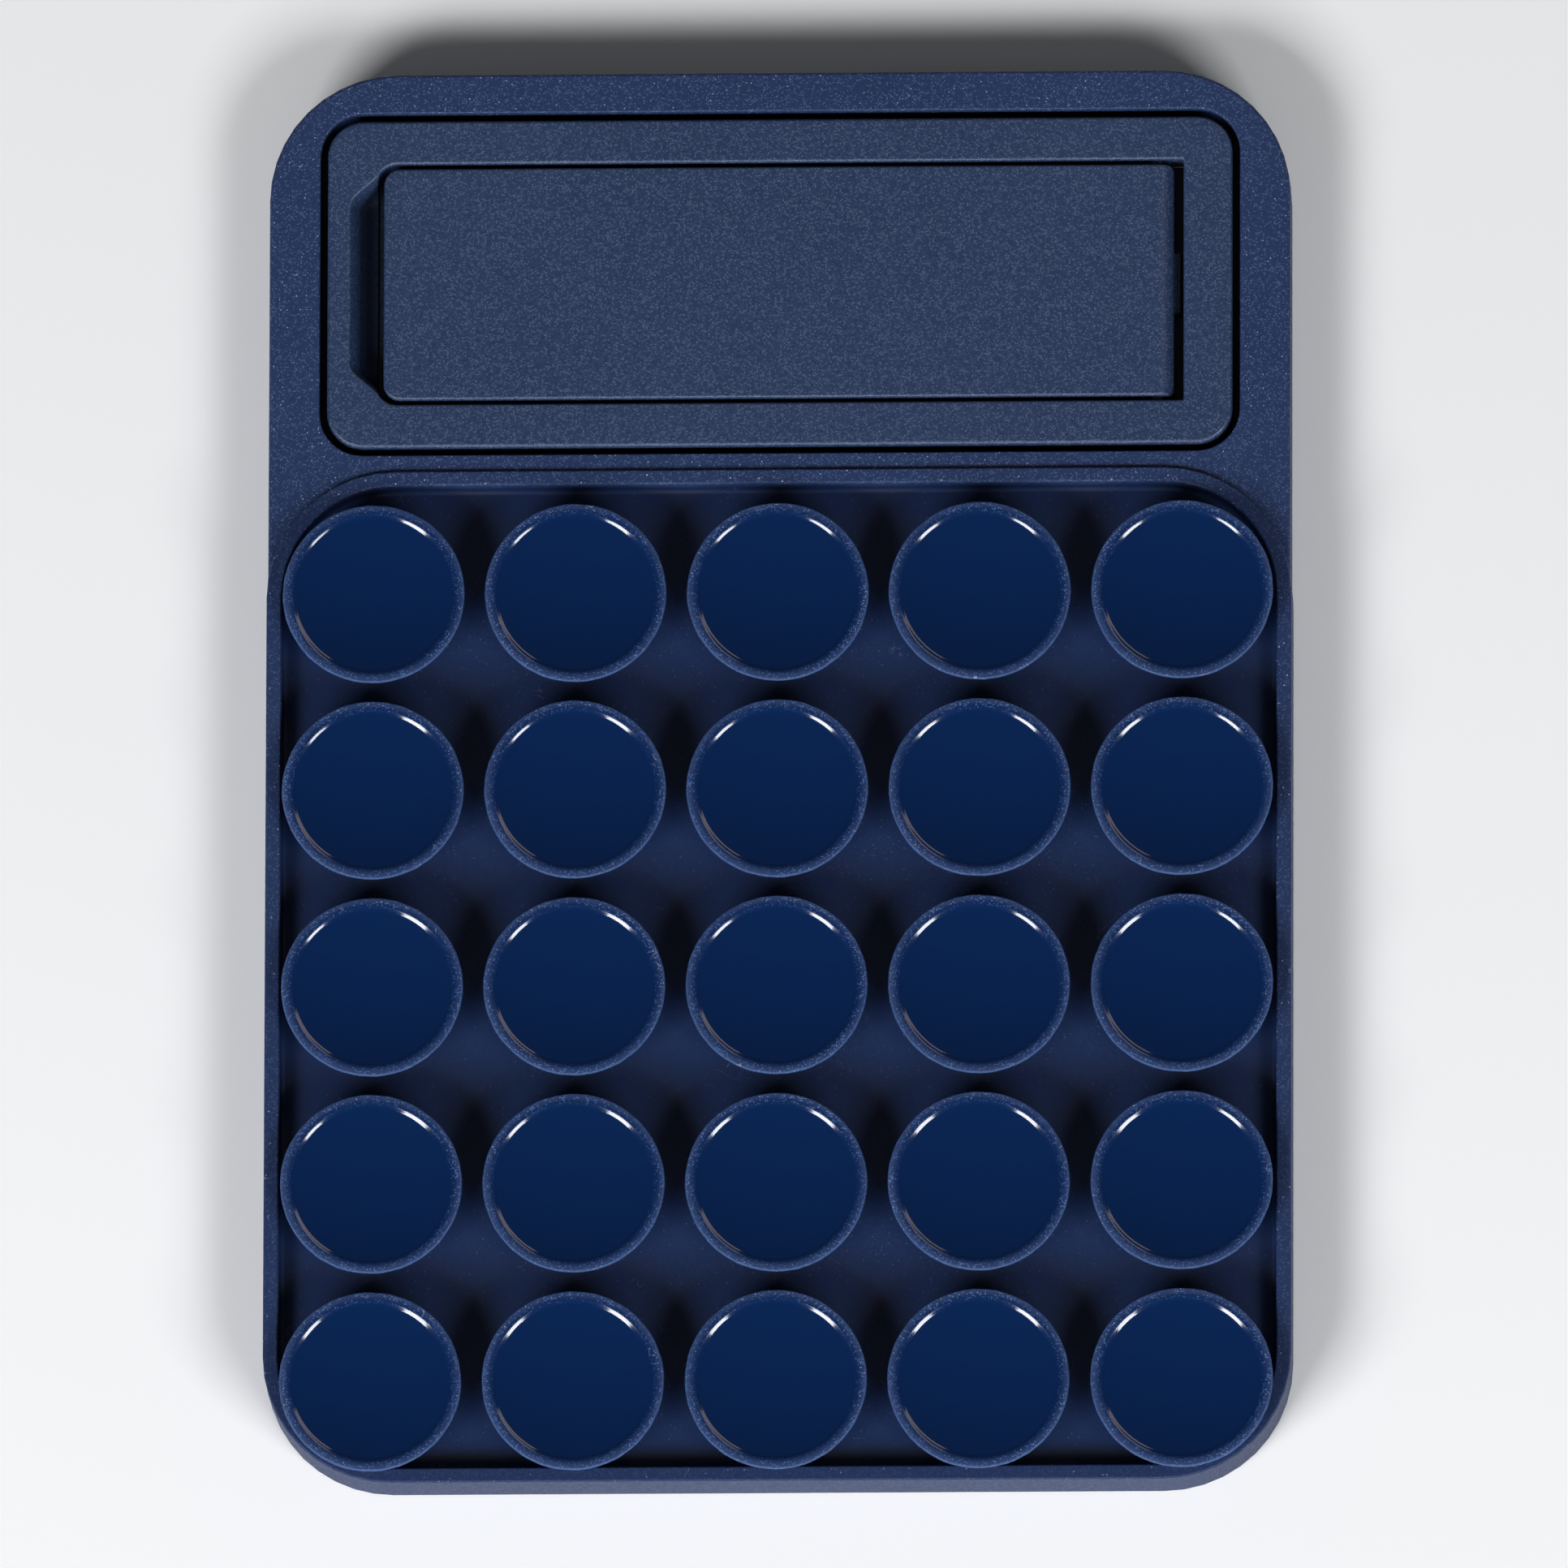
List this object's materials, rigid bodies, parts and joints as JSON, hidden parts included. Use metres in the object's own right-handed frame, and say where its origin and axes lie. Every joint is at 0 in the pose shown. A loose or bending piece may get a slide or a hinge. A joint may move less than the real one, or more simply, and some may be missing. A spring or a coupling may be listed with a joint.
{
  "type": "suction cup phone mount",
  "caption": "Flat silicone mount that sticks to the back of a phone case: a grid of small suction cups in a raised-rim tray, and a hinged plastic stand leg that folds flush into its own frame.",
  "frame": {"origin": "middle of the adhesive tape's outer face, under the centre of the pad's outline", "axes": "+X across the mount towards the leg's hinge, +Y along it towards the stand's end, +Z out of the back through the suction cups"},
  "size_m": [0.068, 0.0952, 0.0065],
  "materials": {
    "silicone": "matte moulded silicone, navy",
    "cup_silicone": "glossy inside the dish, matte on the land, navy",
    "plastic": "fine spark-eroded grain, navy",
    "plate": "smooth satin, dark grey",
    "tape": "tacky closed-cell foam tape, dark grey",
    "steel": "ground steel pin"
  },
  "bodies": {
    "root": {"silicone_pad": "silicone", "backing_plate": "plate", "back_adhesive": "tape", "stand_frame": "plastic", "hinge_pin": "steel"},
    "leg": {"stand_leg": "plastic"},
    "suction_cup_1_1": {"suction_cup_1_1": "cup_silicone"},
    "suction_cup_1_2": {"suction_cup_1_2": "cup_silicone"},
    "suction_cup_1_3": {"suction_cup_1_3": "cup_silicone"},
    "suction_cup_1_4": {"suction_cup_1_4": "cup_silicone"},
    "suction_cup_1_5": {"suction_cup_1_5": "cup_silicone"},
    "suction_cup_2_1": {"suction_cup_2_1": "cup_silicone"},
    "suction_cup_2_2": {"suction_cup_2_2": "cup_silicone"},
    "suction_cup_2_3": {"suction_cup_2_3": "cup_silicone"},
    "suction_cup_2_4": {"suction_cup_2_4": "cup_silicone"},
    "suction_cup_2_5": {"suction_cup_2_5": "cup_silicone"},
    "suction_cup_3_1": {"suction_cup_3_1": "cup_silicone"},
    "suction_cup_3_2": {"suction_cup_3_2": "cup_silicone"},
    "suction_cup_3_3": {"suction_cup_3_3": "cup_silicone"},
    "suction_cup_3_4": {"suction_cup_3_4": "cup_silicone"},
    "suction_cup_3_5": {"suction_cup_3_5": "cup_silicone"},
    "suction_cup_4_1": {"suction_cup_4_1": "cup_silicone"},
    "suction_cup_4_2": {"suction_cup_4_2": "cup_silicone"},
    "suction_cup_4_3": {"suction_cup_4_3": "cup_silicone"},
    "suction_cup_4_4": {"suction_cup_4_4": "cup_silicone"},
    "suction_cup_4_5": {"suction_cup_4_5": "cup_silicone"},
    "suction_cup_5_1": {"suction_cup_5_1": "cup_silicone"},
    "suction_cup_5_2": {"suction_cup_5_2": "cup_silicone"},
    "suction_cup_5_3": {"suction_cup_5_3": "cup_silicone"},
    "suction_cup_5_4": {"suction_cup_5_4": "cup_silicone"},
    "suction_cup_5_5": {"suction_cup_5_5": "cup_silicone"}
  },
  "joints": [
    {"name": "leg_hinge", "type": "hinge", "parent": "root", "child": "leg", "pos_m": [0.02507, 0.03338, 0.0036], "axis": [0, 1, 0], "range_deg": [0, 60]},
    {"name": "press_1_1", "type": "slide", "parent": "root", "child": "suction_cup_1_1", "axis": [0, 0, -1], "range_m": [0, 0.0008], "stiffness_N_per_m": 1500, "deforming": ["suction_cup_1_1"]},
    {"name": "press_1_2", "type": "slide", "parent": "root", "child": "suction_cup_1_2", "axis": [0, 0, -1], "range_m": [0, 0.0008], "stiffness_N_per_m": 1500, "deforming": ["suction_cup_1_2"]},
    {"name": "press_1_3", "type": "slide", "parent": "root", "child": "suction_cup_1_3", "axis": [0, 0, -1], "range_m": [0, 0.0008], "stiffness_N_per_m": 1500, "deforming": ["suction_cup_1_3"]},
    {"name": "press_1_4", "type": "slide", "parent": "root", "child": "suction_cup_1_4", "axis": [0, 0, -1], "range_m": [0, 0.0008], "stiffness_N_per_m": 1500, "deforming": ["suction_cup_1_4"]},
    {"name": "press_1_5", "type": "slide", "parent": "root", "child": "suction_cup_1_5", "axis": [0, 0, -1], "range_m": [0, 0.0008], "stiffness_N_per_m": 1500, "deforming": ["suction_cup_1_5"]},
    {"name": "press_2_1", "type": "slide", "parent": "root", "child": "suction_cup_2_1", "axis": [0, 0, -1], "range_m": [0, 0.0008], "stiffness_N_per_m": 1500, "deforming": ["suction_cup_2_1"]},
    {"name": "press_2_2", "type": "slide", "parent": "root", "child": "suction_cup_2_2", "axis": [0, 0, -1], "range_m": [0, 0.0008], "stiffness_N_per_m": 1500, "deforming": ["suction_cup_2_2"]},
    {"name": "press_2_3", "type": "slide", "parent": "root", "child": "suction_cup_2_3", "axis": [0, 0, -1], "range_m": [0, 0.0008], "stiffness_N_per_m": 1500, "deforming": ["suction_cup_2_3"]},
    {"name": "press_2_4", "type": "slide", "parent": "root", "child": "suction_cup_2_4", "axis": [0, 0, -1], "range_m": [0, 0.0008], "stiffness_N_per_m": 1500, "deforming": ["suction_cup_2_4"]},
    {"name": "press_2_5", "type": "slide", "parent": "root", "child": "suction_cup_2_5", "axis": [0, 0, -1], "range_m": [0, 0.0008], "stiffness_N_per_m": 1500, "deforming": ["suction_cup_2_5"]},
    {"name": "press_3_1", "type": "slide", "parent": "root", "child": "suction_cup_3_1", "axis": [0, 0, -1], "range_m": [0, 0.0008], "stiffness_N_per_m": 1500, "deforming": ["suction_cup_3_1"]},
    {"name": "press_3_2", "type": "slide", "parent": "root", "child": "suction_cup_3_2", "axis": [0, 0, -1], "range_m": [0, 0.0008], "stiffness_N_per_m": 1500, "deforming": ["suction_cup_3_2"]},
    {"name": "press_3_3", "type": "slide", "parent": "root", "child": "suction_cup_3_3", "axis": [0, 0, -1], "range_m": [0, 0.0008], "stiffness_N_per_m": 1500, "deforming": ["suction_cup_3_3"]},
    {"name": "press_3_4", "type": "slide", "parent": "root", "child": "suction_cup_3_4", "axis": [0, 0, -1], "range_m": [0, 0.0008], "stiffness_N_per_m": 1500, "deforming": ["suction_cup_3_4"]},
    {"name": "press_3_5", "type": "slide", "parent": "root", "child": "suction_cup_3_5", "axis": [0, 0, -1], "range_m": [0, 0.0008], "stiffness_N_per_m": 1500, "deforming": ["suction_cup_3_5"]},
    {"name": "press_4_1", "type": "slide", "parent": "root", "child": "suction_cup_4_1", "axis": [0, 0, -1], "range_m": [0, 0.0008], "stiffness_N_per_m": 1500, "deforming": ["suction_cup_4_1"]},
    {"name": "press_4_2", "type": "slide", "parent": "root", "child": "suction_cup_4_2", "axis": [0, 0, -1], "range_m": [0, 0.0008], "stiffness_N_per_m": 1500, "deforming": ["suction_cup_4_2"]},
    {"name": "press_4_3", "type": "slide", "parent": "root", "child": "suction_cup_4_3", "axis": [0, 0, -1], "range_m": [0, 0.0008], "stiffness_N_per_m": 1500, "deforming": ["suction_cup_4_3"]},
    {"name": "press_4_4", "type": "slide", "parent": "root", "child": "suction_cup_4_4", "axis": [0, 0, -1], "range_m": [0, 0.0008], "stiffness_N_per_m": 1500, "deforming": ["suction_cup_4_4"]},
    {"name": "press_4_5", "type": "slide", "parent": "root", "child": "suction_cup_4_5", "axis": [0, 0, -1], "range_m": [0, 0.0008], "stiffness_N_per_m": 1500, "deforming": ["suction_cup_4_5"]},
    {"name": "press_5_1", "type": "slide", "parent": "root", "child": "suction_cup_5_1", "axis": [0, 0, -1], "range_m": [0, 0.0008], "stiffness_N_per_m": 1500, "deforming": ["suction_cup_5_1"]},
    {"name": "press_5_2", "type": "slide", "parent": "root", "child": "suction_cup_5_2", "axis": [0, 0, -1], "range_m": [0, 0.0008], "stiffness_N_per_m": 1500, "deforming": ["suction_cup_5_2"]},
    {"name": "press_5_3", "type": "slide", "parent": "root", "child": "suction_cup_5_3", "axis": [0, 0, -1], "range_m": [0, 0.0008], "stiffness_N_per_m": 1500, "deforming": ["suction_cup_5_3"]},
    {"name": "press_5_4", "type": "slide", "parent": "root", "child": "suction_cup_5_4", "axis": [0, 0, -1], "range_m": [0, 0.0008], "stiffness_N_per_m": 1500, "deforming": ["suction_cup_5_4"]},
    {"name": "press_5_5", "type": "slide", "parent": "root", "child": "suction_cup_5_5", "axis": [0, 0, -1], "range_m": [0, 0.0008], "stiffness_N_per_m": 1500, "deforming": ["suction_cup_5_5"]}
  ]
}
